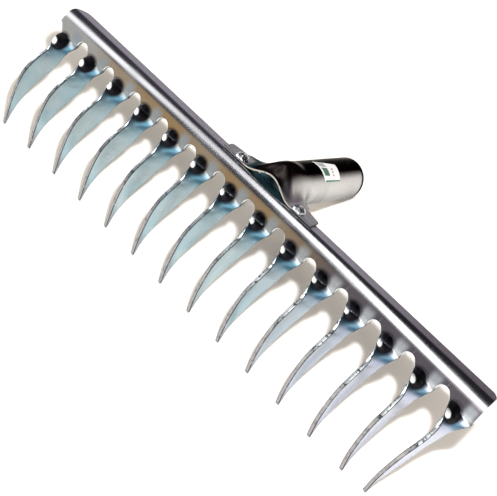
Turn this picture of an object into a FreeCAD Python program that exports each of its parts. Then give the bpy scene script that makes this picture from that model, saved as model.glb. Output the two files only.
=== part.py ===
"""Riveted rake head: a pressed steel bar with fourteen twisted teeth and a rolled handle socket.

Head frame, in which every sub-part is drawn: x runs along the bar, y points back towards the
handle, z points up, away from the tips of the teeth. The front face of the bar's plate lies on
y = 0, and z = 0 is the line of the bumps at the roots of the teeth. At the end all sub-parts get
one Placement, which lays the head down on the tips of its teeth and the rim of its socket.
"""

import FreeCAD, Part
import math
import os

import Sketcher

SHEET_CELLS = (
    ("tooth_count", 14),
    ("pitch", 27.0),
    ("bar_length", 375.0),
    ("sheet", 2.6),
    ("plate_bottom", 0.5),
    ("ridge_start", 9.5),
    ("ridge_radius", 10.0),
    ("flange_rise", 16.0),
    ("flange_length", 5.9),
    ("corner_left", 11.0),
    ("corner_right", 5.5),
    ("gap_left", 10.5),
    ("gap_right", 21.5),
    ("gap_arc", 4.0),
    ("gap_arc_centre", 2.5),
    ("gap_slope", 40.0),
    ("bump_radius", 6.0),
    ("bump_inset", 1.4),
    ("bump_shift", -0.8),
    ("end_lean", -9.0),
    ("end_bow", 2.3),
    ("socket_radius", 15.0),
    ("socket_wall", 1.5),
    ("socket_rise", 10.8),
    ("axis_height", 16.8),
    ("tube_start", 44.0),
    ("tube_end", 124.0),
    ("seam", 0.6),
    ("ear_front", 5.0),
    ("ear_back", 14.0),
    ("ear_half", 39.0),
    ("notch_back", 19.0),
    ("notch_half", 27.0),
    ("arch_half", 20.0),
    ("arch_front", 7.0),
    ("arch_back", 15.0),
    ("nail_radius", 2.25),
    ("nail_from_rim", 17.0),
    ("rivet_spacing", 51.0),
    ("rivet_back", 9.0),
    ("rivet_shank", 2.5),
    ("rivet_head", 5.0),
    ("rivet_head_height", 3.0),
    ("rivet_tail", 4.2),
    ("rivet_tail_height", 1.8),
    ("label_start", 58.0),
    ("label_length", 22.0),
    ("label_from", -12.0),
    ("label_to", 50.0),
    ("label_thick", 0.25),
)

# The blade of a tooth, section by section down from the bumps: how far down, the middle of the
# section along x and y, its width, and how far it has turned from the plane of the plate.
BLADE = (
    (-2.5, 2.5, 1.3, 15.2, 0.0),
    (6.0, 2.7, -3.3, 13.0, 37.0),
    (12.0, 2.6, -4.4, 13.5, 67.0),
    (18.0, 2.3, -5.8, 18.0, 78.0),
    (25.0, 1.6, -7.2, 19.6, 82.0),
    (33.0, 1.0, -8.4, 17.2, 81.0),
    (42.0, 0.7, -8.7, 12.2, 78.0),
    (52.0, 0.7, -7.5, 7.4, 75.0),
    (62.0, 1.2, -5.6, 3.8, 72.0),
    (72.0, 2.6, -3.7, 1.6, 72.0),
)

doc = FreeCAD.newDocument("rake_head")
dims = doc.addObject("Spreadsheet::Sheet", "dims")
for row, (alias, number) in enumerate(SHEET_CELLS, start=1):
    dims.set(f"A{row}", alias)
    dims.set(f"B{row}", str(number))
    dims.setAlias(f"B{row}", alias)
doc.recompute()


def size(alias):
    """The number in the cell of that alias."""
    return float(dims.get(alias))


def rise(distance, degrees):
    """How far along y and z a run of that length goes when it climbs at that angle."""
    turn = math.radians(degrees)
    return distance * math.cos(turn), distance * math.sin(turn)


# Where a sheet runs into another solid it is this much thinner, so that its end lies inside that
# solid. A blade is full again over ROOT_RUN, and the neck of the socket ends that far in the tube.
END_THINNING = 0.7
ROOT_RUN = 6.0
NECK_OVERLAP = 3.0

# How finely the sheet of a blade and of the neck is drawn, across its width and along its length.
BLADE_STEPS_ACROSS = 6
BLADE_STEPS_ALONG = 30
NECK_STEPS = 40

# Where the flange leaves the ridge's bend, the way it runs, and the way the socket's axis runs.
FLANGE_Y = size("ridge_radius") * (1 - math.sin(math.radians(size("flange_rise"))))
FLANGE_Z = size("ridge_start") + size("ridge_radius") * math.cos(math.radians(size("flange_rise")))
FIRST_BUMP = -(size("tooth_count") - 1) / 2 * size("pitch")
BAR_END = size("bar_length") / 2


def flange_height(y):
    """Height of the flange's upper face at that y."""
    return FLANGE_Z + (y - FLANGE_Y) * math.tan(math.radians(size("flange_rise")))


def new_body(name):
    body = doc.addObject("PartDesign::Body", name)
    body.Label = name
    return body


def origin_feature(body, role):
    return next(feature for feature in body.Origin.OriginFeatures if feature.Role == role)


def new_sketch(body, name, role, place=None):
    """An empty sketch on one of the body's origin planes, moved by place within that plane's frame."""
    sketch = body.newObject("Sketcher::SketchObject", name)
    sketch.AttachmentSupport = [(origin_feature(body, role), "")]
    sketch.MapMode = "FlatFace"
    if place is not None:
        sketch.AttachmentOffset = place
    return sketch


def point(x, y):
    return FreeCAD.Vector(x, y, 0)


def add_line(sketch, start, end):
    return sketch.addGeometry(Part.LineSegment(point(*start), point(*end)), False)


def add_arc(sketch, centre, radius, first, last):
    circle = Part.Circle(point(*centre), FreeCAD.Vector(0, 0, 1), radius)
    return sketch.addGeometry(Part.ArcOfCircle(circle, math.radians(first), math.radians(last)), False)


def limit(sketch, kind, *rest):
    return sketch.addConstraint(Sketcher.Constraint(kind, *rest))


def bind(sketch, expression, kind, *rest):
    """Adds a dimension and ties it to a cell or a formula of cells."""
    index = limit(sketch, kind, *rest)
    sketch.setExpression(f"Constraints[{index}]", expression)


def through_pocket(body, name, sketch):
    """A pocket right through the body, checked to have cut something."""
    before = body.Shape.Volume
    pocket = body.newObject("PartDesign::Pocket", name)
    pocket.Profile = sketch
    pocket.Type = "ThroughAll"
    pocket.Midplane = True
    body.Tip = pocket
    doc.recompute()
    if pocket.Shape.Volume > before - 1:
        raise RuntimeError(f"{name} cuts nothing")
    return pocket


def row_of(body, name, feature, count):
    """Repeats a feature along the bar, one pitch apart."""
    pattern = body.newObject("PartDesign::LinearPattern", name)
    pattern.Originals = [feature]
    pattern.Direction = (origin_feature(body, "X_Axis"), [""])
    pattern.Mode = "Spacing"
    pattern.setExpression("Offset", "dims.pitch")
    pattern.setExpression("Occurrences", count)
    body.Tip = pattern
    doc.recompute()
    return pattern


def bar_profile(body):
    """Section of the bar: plate, ridge and flange, one sheet bent once."""
    radius = size("ridge_radius")
    sheet = size("sheet")
    ridge = size("ridge_start")
    slope = size("flange_rise")
    along_y, along_z = rise(size("flange_length"), slope)
    back_y, back_z = rise(sheet, slope - 90)
    edge = (FLANGE_Y + along_y, FLANGE_Z + along_z)
    sketch = new_sketch(body, "bar_section", "YZ_Plane")
    front = add_line(sketch, (0, size("plate_bottom")), (0, ridge))
    outer = add_arc(sketch, (radius, ridge), radius, 90 + slope, 180)
    top = add_line(sketch, (FLANGE_Y, FLANGE_Z), edge)
    rim = add_line(sketch, edge, (edge[0] + back_y, edge[1] + back_z))
    start = (FLANGE_Y + back_y, FLANGE_Z + back_z)
    under = add_line(sketch, (edge[0] + back_y, edge[1] + back_z), start)
    inner = add_arc(sketch, (radius, ridge), radius - sheet, 90 + slope, 180)
    back = add_line(sketch, (sheet, ridge), (sheet, size("plate_bottom")))
    bottom = add_line(sketch, (sheet, size("plate_bottom")), (0, size("plate_bottom")))
    for first, second in ((top, rim), (rim, under), (back, bottom), (bottom, front)):
        limit(sketch, "Coincident", first, 2, second, 1)
    limit(sketch, "Tangent", front, 2, outer, 2)
    limit(sketch, "Tangent", outer, 1, top, 1)
    limit(sketch, "Tangent", under, 2, inner, 1)
    limit(sketch, "Tangent", inner, 2, back, 1)
    limit(sketch, "Coincident", outer, 3, inner, 3)
    limit(sketch, "Vertical", front)
    limit(sketch, "Horizontal", bottom)
    limit(sketch, "PointOnObject", front, 1, -2)
    limit(sketch, "Perpendicular", top, rim)
    bind(sketch, "dims.plate_bottom", "DistanceY", -1, 1, front, 1, size("plate_bottom"))
    bind(sketch, "dims.ridge_start", "DistanceY", -1, 1, outer, 3, ridge)
    bind(sketch, "dims.ridge_radius", "Radius", outer, radius)
    bind(sketch, "dims.flange_length", "Distance", top, size("flange_length"))
    bind(sketch, "dims.sheet", "Distance", rim, sheet)
    bind(sketch, "dims.flange_rise", "Angle", -1, 1, top, 1, math.radians(slope))
    return sketch


def bump_profile(body, name, radius, formula):
    """Half section of a bump about the y direction, from the plate's back face to the bump's nose."""
    inset = size("bump_inset")
    back = size("sheet")
    reach = math.sqrt(radius**2 - (back - inset) ** 2)
    place = FreeCAD.Placement(FreeCAD.Vector(0, 0, FIRST_BUMP + size("bump_shift")), FreeCAD.Rotation())
    sketch = new_sketch(body, name, "YZ_Plane", place)
    sketch.setExpression(
        "AttachmentOffset.Base.z", "(1 - dims.tooth_count) / 2 * dims.pitch + dims.bump_shift"
    )
    last = 180.0
    first = math.degrees(math.atan2(reach, back - inset))
    nose = add_arc(sketch, (inset, 0), radius, first, last)
    wall = add_line(sketch, (back, reach), (back, 0))
    axis = add_line(sketch, (back, 0), (inset - radius, 0))
    limit(sketch, "Coincident", nose, 1, wall, 1)
    limit(sketch, "Coincident", wall, 2, axis, 1)
    limit(sketch, "Coincident", axis, 2, nose, 2)
    limit(sketch, "Vertical", wall)
    limit(sketch, "PointOnObject", nose, 3, -1)
    limit(sketch, "PointOnObject", wall, 2, -1)
    limit(sketch, "PointOnObject", nose, 2, -1)
    bind(sketch, "dims.sheet", "DistanceX", -1, 1, wall, 2, back)
    bind(sketch, "dims.bump_inset", "DistanceX", -1, 1, nose, 3, inset)
    bind(sketch, formula, "Radius", nose, radius)
    return sketch


def spin(body, kind, name, sketch):
    feature = body.newObject(kind, name)
    feature.Profile = sketch
    feature.ReferenceAxis = (sketch, ["H_Axis"])
    feature.Angle = 360
    body.Tip = feature
    doc.recompute()
    return feature


def gap_profile(body):
    """Outline of the first gap, at the bar's left end: upright on its left, sloping on its right."""
    left = size("gap_left")
    right = size("gap_right")
    radius = size("gap_arc")
    centre = (left + radius, size("gap_arc_centre"))
    slope = size("gap_slope")
    leave = (
        centre[0] + radius * math.cos(math.radians(slope)),
        centre[1] + radius * math.sin(math.radians(slope)),
    )
    foot = leave[1] - (right - leave[0]) / math.tan(math.radians(slope))
    low = -2 * size("bump_radius")
    place = FreeCAD.Placement(FreeCAD.Vector(FIRST_BUMP - size("pitch"), 0, 0), FreeCAD.Rotation())
    sketch = new_sketch(body, "gap_outline", "XZ_Plane", place)
    sketch.setExpression("AttachmentOffset.Base.x", "-(1 + dims.tooth_count) / 2 * dims.pitch")
    upright = add_line(sketch, (left, low), (left, centre[1]))
    crown = add_arc(sketch, centre, radius, slope, 180)
    ramp = add_line(sketch, leave, (right, foot))
    side = add_line(sketch, (right, foot), (right, low))
    floor = add_line(sketch, (right, low), (left, low))
    limit(sketch, "Tangent", upright, 2, crown, 2)
    limit(sketch, "Tangent", crown, 1, ramp, 1)
    limit(sketch, "Coincident", ramp, 2, side, 1)
    limit(sketch, "Coincident", side, 2, floor, 1)
    limit(sketch, "Coincident", floor, 2, upright, 1)
    limit(sketch, "Vertical", upright)
    limit(sketch, "Vertical", side)
    limit(sketch, "Horizontal", floor)
    bind(sketch, "dims.gap_left", "DistanceX", -1, 1, upright, 1, left)
    bind(sketch, "dims.gap_right", "DistanceX", -1, 1, side, 2, right)
    bind(sketch, "dims.gap_arc", "Radius", crown, radius)
    bind(sketch, "dims.gap_arc_centre", "DistanceY", -1, 1, crown, 3, centre[1])
    bind(sketch, "-2 * dims.bump_radius", "DistanceY", -1, 1, floor, 1, low)
    bind(sketch, "dims.gap_slope - 90", "Angle", -1, 1, ramp, 1, math.radians(slope - 90))
    return sketch


def corner_profile(body, name, side, alias):
    """Waste outside the rounded corner of the flange at one end of the bar."""
    radius = size(alias)
    end = side * BAR_END
    along_y, _ = rise(size("flange_length"), size("flange_rise"))
    edge = FLANGE_Y + along_y
    beyond = end + side * radius
    past = edge + radius
    sketch = new_sketch(body, name, "XY_Plane")
    first, last = (90, 180) if side < 0 else (0, 90)
    arc = add_arc(sketch, (end - side * radius, edge - radius), radius, first, last)
    foot, crown = (2, 1) if side < 0 else (1, 2)
    out = add_line(sketch, (end, edge - radius), (beyond, edge - radius))
    up = add_line(sketch, (beyond, edge - radius), (beyond, past))
    over = add_line(sketch, (beyond, past), (end - side * radius, past))
    down = add_line(sketch, (end - side * radius, past), (end - side * radius, edge))
    limit(sketch, "Coincident", arc, foot, out, 1)
    limit(sketch, "Coincident", out, 2, up, 1)
    limit(sketch, "Coincident", up, 2, over, 1)
    limit(sketch, "Coincident", over, 2, down, 1)
    limit(sketch, "Coincident", down, 2, arc, crown)
    for line in (out, over):
        limit(sketch, "Horizontal", line)
    for line in (up, down):
        limit(sketch, "Vertical", line)
    bind(sketch, f"{side} * dims.bar_length / 2", "DistanceX", -1, 1, arc, foot, end)
    bind(sketch, f"dims.{alias}", "Radius", arc, radius)
    limit(sketch, "DistanceY", -1, 1, arc, crown, edge)
    turning = f"{side} * (dims.bar_length / 2 - dims.{alias})"
    bind(sketch, turning, "DistanceX", -1, 1, arc, crown, end - side * radius)
    limit(sketch, "DistanceY", -1, 1, arc, foot, edge - radius)
    limit(sketch, "DistanceX", -1, 1, up, 1, beyond)
    limit(sketch, "DistanceY", -1, 1, over, 1, past)
    return sketch


def on_flange(x, back):
    """The place on the flange's upper face that far along and back, with z square to the face."""
    tilt = FreeCAD.Rotation(FreeCAD.Vector(1, 0, 0), size("flange_rise"))
    along_y, along_z = rise(back, size("flange_rise"))
    return FreeCAD.Placement(FreeCAD.Vector(x, FLANGE_Y + along_y, FLANGE_Z + along_z), tilt)


def rivet_holes(body):
    spread = size("rivet_spacing") / 2
    sketch = new_sketch(body, "rivet_hole_circles", "XY_Plane", on_flange(0, rivet_run()))
    for side in (-1, 1):
        circle = Part.Circle(point(side * spread, 0), FreeCAD.Vector(0, 0, 1), size("rivet_shank"))
        hole = sketch.addGeometry(circle, False)
        limit(sketch, "PointOnObject", hole, 3, -1)
        bind(sketch, f"{side} * dims.rivet_spacing / 2", "DistanceX", -1, 1, hole, 3, side * spread)
        bind(sketch, "dims.rivet_shank", "Radius", hole, size("rivet_shank"))
    return sketch


def rivet_run():
    """How far along the flange, from the ridge's bend, the rivets stand."""
    return (size("rivet_back") - FLANGE_Y) / math.cos(math.radians(size("flange_rise")))


def smooth(value):
    """Goes from 0 to 1 with no jump in slope or curvature at either end."""
    held = min(max(value, 0.0), 1.0)
    return held**3 * (10 - 15 * held + 6 * held**2)


def sheet_solid(rows):
    """Solid between two faces of a sheet; a row holds the points across one face and then the other."""
    surfaces = []
    for side in (0, 1):
        surface = Part.BSplineSurface()
        surface.interpolate([row[side] for row in rows])
        surfaces.append(surface)
    outer, inner = surfaces
    faces = [surface.toShape() for surface in surfaces]
    u_first, u_last, v_first, v_last = outer.bounds()
    for at in (u_first, u_last):
        faces.append(Part.makeRuledSurface(outer.uIso(at).toShape(), inner.uIso(at).toShape(), 1))
    for at in (v_first, v_last):
        faces.append(Part.makeRuledSurface(outer.vIso(at).toShape(), inner.vIso(at).toShape(), 1))
    shell = Part.makeShell(faces)
    shell.sewShape()
    return Part.makeSolid(shell)


def blade_slope(row, column):
    """How fast one column of the blade's table changes at that row, judged from its neighbours."""
    before = BLADE[max(row - 1, 0)]
    after = BLADE[min(row + 1, len(BLADE) - 1)]
    return (after[column] - before[column]) / (after[0] - before[0])


def blade_section(drop):
    """Middle x and y, width and twist of the blade that far down, smoothly between the table's rows."""
    row = 0
    while row < len(BLADE) - 2 and drop > BLADE[row + 1][0]:
        row += 1
    run = BLADE[row + 1][0] - BLADE[row][0]
    at = (drop - BLADE[row][0]) / run
    numbers = []
    for column in range(1, len(BLADE[0])):
        start = BLADE[row][column]
        step = BLADE[row + 1][column] - start
        leave = blade_slope(row, column) * run
        arrive = blade_slope(row + 1, column) * run
        bend = 3 * step - 2 * leave - arrive
        numbers.append(start + at * (leave + at * (bend + at * (leave + arrive - 2 * step))))
    return numbers


def blade_row(drop, bump_x, lean, bow):
    """Points across both faces of a blade that far down; lean and bow are its drift at the tip."""
    mid_x, mid_y, width, twist = blade_section(drop)
    share = max(drop, 0.0) / BLADE[-1][0]
    centre = FreeCAD.Vector(bump_x + mid_x + lean * share**1.5, mid_y + bow * share, -drop)
    turn = math.radians(twist)
    across = FreeCAD.Vector(math.cos(turn), math.sin(turn), 0)
    out = FreeCAD.Vector(math.sin(turn), -math.cos(turn), 0)
    full = END_THINNING + (1 - END_THINNING) * smooth((drop - BLADE[0][0]) / ROOT_RUN)
    faces = []
    for side in (1, -1):
        middle = centre + out * (side * full * size("sheet") / 2)
        steps = [k / BLADE_STEPS_ACROSS - 0.5 for k in range(BLADE_STEPS_ACROSS + 1)]
        faces.append([middle + across * (width * step) for step in steps])
    return faces


def tooth(name, bump_x, lean=0.0, bow=0.0):
    """A twisted blade hanging from the plate."""
    root = BLADE[0][0]
    length = BLADE[-1][0] - root
    drops = [root + length * k / BLADE_STEPS_ALONG for k in range(BLADE_STEPS_ALONG + 1)]
    feature = doc.addObject("Part::Feature", name)
    feature.Shape = sheet_solid([blade_row(drop, bump_x, lean, bow) for drop in drops])
    return feature


def make_bar():
    """The bar without its teeth: a bent strip with bumps, gaps, rounded corners and rivet holes."""
    body = new_body("bar")
    strip = body.newObject("PartDesign::Pad", "strip")
    strip.Profile = bar_profile(body)
    strip.Midplane = True
    strip.setExpression("Length", "dims.bar_length")
    doc.recompute()
    outside = bump_profile(body, "bump_outside", size("bump_radius"), "dims.bump_radius")
    bump = spin(body, "PartDesign::Revolution", "bump", outside)
    row_of(body, "bumps", bump, "dims.tooth_count")
    hollow_radius = size("bump_radius") - size("sheet")
    inside = bump_profile(body, "bump_inside", hollow_radius, "dims.bump_radius - dims.sheet")
    hollow = spin(body, "PartDesign::Groove", "hollow", inside)
    row_of(body, "hollows", hollow, "dims.tooth_count")
    gap = through_pocket(body, "gap", gap_profile(body))
    row_of(body, "gaps", gap, "dims.tooth_count")
    through_pocket(body, "left_corner", corner_profile(body, "left_corner_outline", -1, "corner_left"))
    through_pocket(body, "right_corner", corner_profile(body, "right_corner_outline", 1, "corner_right"))
    through_pocket(body, "rivet_holes", rivet_holes(body))
    return body


def make_rake_head():
    """Bar and teeth, pressed from one sheet; the last tooth stands askew."""
    bar = make_bar()
    last = int(size("tooth_count")) - 1
    teeth = [tooth(f"tooth_{k + 1}", FIRST_BUMP + k * size("pitch")) for k in range(last)]
    teeth.append(tooth(f"tooth_{last + 1}", -FIRST_BUMP, size("end_lean"), size("end_bow")))
    feature = doc.addObject("Part::Feature", "rake_head")
    feature.Shape = bar.Shape.fuse([each.Shape for each in teeth])
    return feature


def socket_axis(y):
    """Height of the socket's axis at that y."""
    return size("axis_height") + y * math.tan(math.radians(size("socket_rise")))


def blank_half(y):
    """Half the width of the socket's blank at that y: an ear, a notch, then half the tube's girth."""
    ear = size("ear_half")
    notch = size("notch_half")
    girth = math.pi * (size("socket_radius") - size("socket_wall") / 2) - size("seam")
    narrowing = smooth((y - size("ear_back")) / (size("notch_back") - size("ear_back")))
    widening = smooth((y - size("notch_back")) / (size("tube_start") - size("notch_back")))
    return ear + (notch - ear) * narrowing + (girth - notch) * widening


def blank_point(y, share):
    """Middle of the socket's sheet at that y; share runs from -1 at the left edge to 1 at the right.

    Towards the bar the sheet is two flat ears with an arch between them, and towards the handle it
    is a circle that closes underneath. Between them it goes smoothly from one to the other.
    """
    radius = size("socket_radius") - size("socket_wall") / 2
    flat_x = blank_half(y) * share
    ring_x = radius * math.sin(flat_x / radius)
    ring_z = radius * math.cos(flat_x / radius)
    rounding = smooth((y - size("ear_front")) / (size("ear_back") - size("ear_front")))
    arch = size("arch_front") + (size("arch_back") - size("arch_front")) * rounding
    reach = min(abs(flat_x) / size("arch_half"), 1.0)
    lift = size("socket_wall") / 2 / math.cos(math.radians(size("flange_rise")))
    flat_z = flange_height(y) + lift + arch * (0.5 + 0.5 * math.cos(math.pi * reach)) - socket_axis(y)
    closing = smooth((y - size("ear_back")) / (size("tube_start") - size("ear_back")))
    x = flat_x + (ring_x - flat_x) * closing
    z = flat_z + (ring_z - flat_z) * closing
    return x, z


def blank_row(y, axis_dir):
    """Points across both faces of the sheet at that y."""
    shares = [-1 + 2 * k / NECK_STEPS for k in range(NECK_STEPS + 1)]
    middle = [blank_point(y, share) for share in shares]
    full = 1 - (1 - END_THINNING) * smooth((y - size("tube_start")) / NECK_OVERLAP + 0.5)
    faces = []
    for side in (1, -1):
        row = []
        for k, (x, z) in enumerate(middle):
            before = middle[max(k - 1, 0)]
            after = middle[min(k + 1, NECK_STEPS)]
            run_x = after[0] - before[0]
            run_z = after[1] - before[1]
            offset = side * full * size("socket_wall") / 2 / math.hypot(run_x, run_z)
            out_x = x - run_z * offset
            out_z = z + run_x * offset
            height = socket_axis(y) + out_z * axis_dir.y
            row.append(FreeCAD.Vector(out_x, y - out_z * axis_dir.z, height))
        faces.append(row)
    return faces


def make_tube():
    """The straight part of the socket: a round tube with a seam along its underside."""
    body = new_body("tube")
    sketch = new_sketch(body, "tube_section", "XY_Plane")
    outer = size("socket_radius")
    inner = outer - size("socket_wall")
    half = size("seam") / 2
    arcs = []
    for radius in (outer, inner):
        gap = math.degrees(math.asin(half / radius))
        arcs.append(add_arc(sketch, (0, 0), radius, gap - 90, 270 - gap))
        limit(sketch, "Coincident", arcs[-1], 3, -1, 1)
    lines = []
    for side, at in ((1, 1), (-1, 2)):
        foot = (side * half, -math.sqrt(outer**2 - half**2))
        top = (side * half, -math.sqrt(inner**2 - half**2))
        lines.append(add_line(sketch, foot, top))
        limit(sketch, "Coincident", lines[-1], 1, arcs[0], at)
        limit(sketch, "Coincident", lines[-1], 2, arcs[1], at)
        limit(sketch, "Vertical", lines[-1])
        bind(sketch, f"{side} * dims.seam / 2", "DistanceX", -1, 1, lines[-1], 1, side * half)
    bind(sketch, "dims.socket_radius", "Radius", arcs[0], outer)
    bind(sketch, "dims.socket_radius - dims.socket_wall", "Radius", arcs[1], inner)
    pad = body.newObject("PartDesign::Pad", "tube_wall")
    pad.Profile = sketch
    pad.setExpression("Length", "(dims.tube_end - dims.tube_start) / cos(dims.socket_rise)")
    body.Tip = pad
    body.Placement = along_axis(size("tube_start"))
    doc.recompute()
    return body


def along_axis(y):
    """The place on the socket's axis at that y, with z along the axis and y away from the seam."""
    flat = FreeCAD.Rotation(FreeCAD.Vector(1, 0, 0), -90 + size("socket_rise"))
    upright = FreeCAD.Rotation(FreeCAD.Vector(0, 0, 1), 180)
    return FreeCAD.Placement(FreeCAD.Vector(0, y, socket_axis(y)), flat.multiply(upright))


def make_handle_socket():
    """Ears on the flange, an arched mouth, and a neck that closes underneath into the tube."""
    along_y, along_z = rise(1.0, size("socket_rise"))
    axis_dir = FreeCAD.Vector(0, along_y, along_z)
    length = size("tube_start") + NECK_OVERLAP / 2 - size("ear_front")
    steps = [size("ear_front") + length * k / NECK_STEPS for k in range(NECK_STEPS + 1)]
    shape = sheet_solid([blank_row(y, axis_dir) for y in steps]).fuse(make_tube().Shape)
    nail_y = size("tube_end") - size("nail_from_rim") * along_y
    up = FreeCAD.Vector(0, -along_z, along_y)
    nail_foot = FreeCAD.Vector(0, nail_y, socket_axis(nail_y))
    shape = shape.cut(Part.makeCylinder(size("nail_radius"), 2 * size("socket_radius"), nail_foot, up))
    for side in (-1, 1):
        drill = Part.makeCylinder(size("rivet_shank"), 20, FreeCAD.Vector(0, 0, -10))
        drill.Placement = on_flange(side * size("rivet_spacing") / 2, rivet_run())
        shape = shape.cut(drill)
    feature = doc.addObject("Part::Feature", "handle_socket")
    feature.Shape = shape
    feature.Label = "handle_socket"
    return feature


def make_rivet(name, side):
    """A round-headed rivet through ear and flange, its tail upset below."""
    body = new_body(name)
    sketch = new_sketch(body, f"{name}_profile", "XZ_Plane")
    shank = size("rivet_shank")
    head = size("rivet_head")
    tail = size("rivet_tail")
    seat = size("socket_wall")
    under = -size("sheet")
    crown = seat + size("rivet_head_height")
    foot = under - size("rivet_tail_height")
    upset = ((0, crown), (0, foot), (0.6 * tail, foot), (tail, under))
    outline = (*upset, (shank, under), (shank, seat), (head, seat))
    lines = [add_line(sketch, start, end) for start, end in zip(outline, outline[1:])]
    radius = (head**2 + size("rivet_head_height") ** 2) / (2 * size("rivet_head_height"))
    first = math.degrees(math.asin((radius - size("rivet_head_height")) / radius))
    dome = add_arc(sketch, (0, crown - radius), radius, first, 90)
    for first_line, second_line in zip(lines, lines[1:]):
        limit(sketch, "Coincident", first_line, 2, second_line, 1)
    limit(sketch, "Coincident", lines[-1], 2, dome, 1)
    limit(sketch, "Coincident", dome, 2, lines[0], 1)
    limit(sketch, "PointOnObject", lines[0], 1, -2)
    limit(sketch, "PointOnObject", dome, 3, -2)
    limit(sketch, "Vertical", lines[0])
    limit(sketch, "Horizontal", lines[1])
    limit(sketch, "Horizontal", lines[3])
    limit(sketch, "Vertical", lines[4])
    limit(sketch, "Horizontal", lines[5])
    bind(sketch, "dims.socket_wall + dims.rivet_head_height", "DistanceY", -1, 1, lines[0], 1, crown)
    bind(sketch, "-dims.sheet - dims.rivet_tail_height", "DistanceY", -1, 1, lines[0], 2, foot)
    bind(sketch, "0.6 * dims.rivet_tail", "DistanceX", -1, 1, lines[1], 2, 0.6 * tail)
    bind(sketch, "dims.rivet_tail", "DistanceX", -1, 1, lines[3], 1, tail)
    bind(sketch, "-dims.sheet", "DistanceY", -1, 1, lines[3], 1, under)
    bind(sketch, "dims.rivet_shank", "DistanceX", -1, 1, lines[4], 1, shank)
    bind(sketch, "dims.socket_wall", "DistanceY", -1, 1, lines[5], 1, seat)
    bind(sketch, "dims.rivet_head", "DistanceX", -1, 1, lines[5], 2, head)
    turned = body.newObject("PartDesign::Revolution", f"{name}_turned")
    turned.Profile = sketch
    turned.ReferenceAxis = (sketch, ["V_Axis"])
    turned.Angle = 360
    body.Tip = turned
    body.Placement = on_flange(side * size("rivet_spacing") / 2, rivet_run())
    return body


def make_label():
    """A thin label stuck round part of the socket tube, drawn along the tube's axis."""
    body = new_body("label")
    sketch = new_sketch(body, "label_section", "XY_Plane")
    inner = size("socket_radius")
    outer = inner + size("label_thick")
    first = 90 + size("label_from")
    last = 90 + size("label_to")
    under = add_arc(sketch, (0, 0), inner, first, last)
    over = add_arc(sketch, (0, 0), outer, first, last)
    ends = []
    for degrees in (first, last):
        turn = math.radians(degrees)
        start = (inner * math.cos(turn), inner * math.sin(turn))
        end = (outer * math.cos(turn), outer * math.sin(turn))
        ends.append(add_line(sketch, start, end))
    for arc in (under, over):
        limit(sketch, "Coincident", arc, 3, -1, 1)
    for line, at in zip(ends, (1, 2)):
        limit(sketch, "Coincident", line, 1, under, at)
        limit(sketch, "Coincident", line, 2, over, at)
    bind(sketch, "dims.socket_radius", "Radius", under, inner)
    bind(sketch, "dims.socket_radius + dims.label_thick", "Radius", over, outer)
    bind(sketch, "90 + dims.label_from", "Angle", -1, 1, ends[0], 1, math.radians(first))
    bind(sketch, "90 + dims.label_to", "Angle", -1, 1, ends[1], 1, math.radians(last))
    strip = body.newObject("PartDesign::Pad", "label_strip")
    strip.Profile = sketch
    strip.setExpression("Length", "dims.label_length")
    body.Tip = strip
    body.Placement = along_axis(size("label_start"))
    return body


def lay_down(parts):
    """Turns the whole head about x until tooth tips and socket rim touch the ground, then centres it."""
    tip = (BLADE[-1][2], -BLADE[-1][0])
    along_y, along_z = rise(1.0, size("socket_rise"))
    rim_y = size("tube_end") + size("socket_radius") * along_z
    rim_z = socket_axis(size("tube_end")) - size("socket_radius") * along_y
    lean = math.degrees(math.atan2(rim_z - tip[1], rim_y - tip[0]))
    turn = FreeCAD.Placement(FreeCAD.Vector(0, 0, 0), FreeCAD.Rotation(FreeCAD.Vector(1, 0, 0), -lean))
    for part in parts:
        part.Placement = turn.multiply(part.Placement)
    doc.recompute()
    box = Part.makeCompound([part.Shape for part in parts]).optimalBoundingBox(False, False)
    centre = FreeCAD.Vector((box.XMin + box.XMax) / 2, (box.YMin + box.YMax) / 2, box.ZMin)
    shift = FreeCAD.Placement(centre.negative(), FreeCAD.Rotation())
    for part in parts:
        part.Placement = shift.multiply(part.Placement)
    doc.recompute()
    print(f"laid down by {lean:.2f} degrees, moved by {centre.negative()}")


def check(parts):
    """Stops if anything in the document failed or a sub-part is not one sound solid."""
    for item in doc.Objects:
        if "Invalid" in item.State or "Error" in item.State:
            raise RuntimeError(f"{item.Name} failed: {item.State}")
    for part in parts:
        if part.Shape.isNull() or not part.Shape.isValid() or len(part.Shape.Solids) != 1:
            raise RuntimeError(f"{part.Label} is not one valid solid")


parts = [
    make_rake_head(),
    make_handle_socket(),
    make_rivet("rivet_left", -1),
    make_rivet("rivet_right", 1),
    make_label(),
]
doc.recompute()
lay_down(parts)
check(parts)
os.makedirs("parts", exist_ok=True)
for part in parts:
    part.Shape.exportStep(f"parts/{part.Label}.step")
    print(part.Label, round(part.Shape.Volume), "mm3")
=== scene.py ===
"""Looks for the rake head: pressed zinc-plated bar with twisted teeth, rolled handle socket, rivets.

Shapes are worked out in the head frame, in millimetres: x along the bar, y back towards the handle,
z up from the line of the bumps, with the front face of the bar's plate on y = 0. to_row() then lays
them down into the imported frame, in metres.
"""

import math

import bmesh
import bpy
import numpy as np
from mathutils import Matrix, Vector


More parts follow.
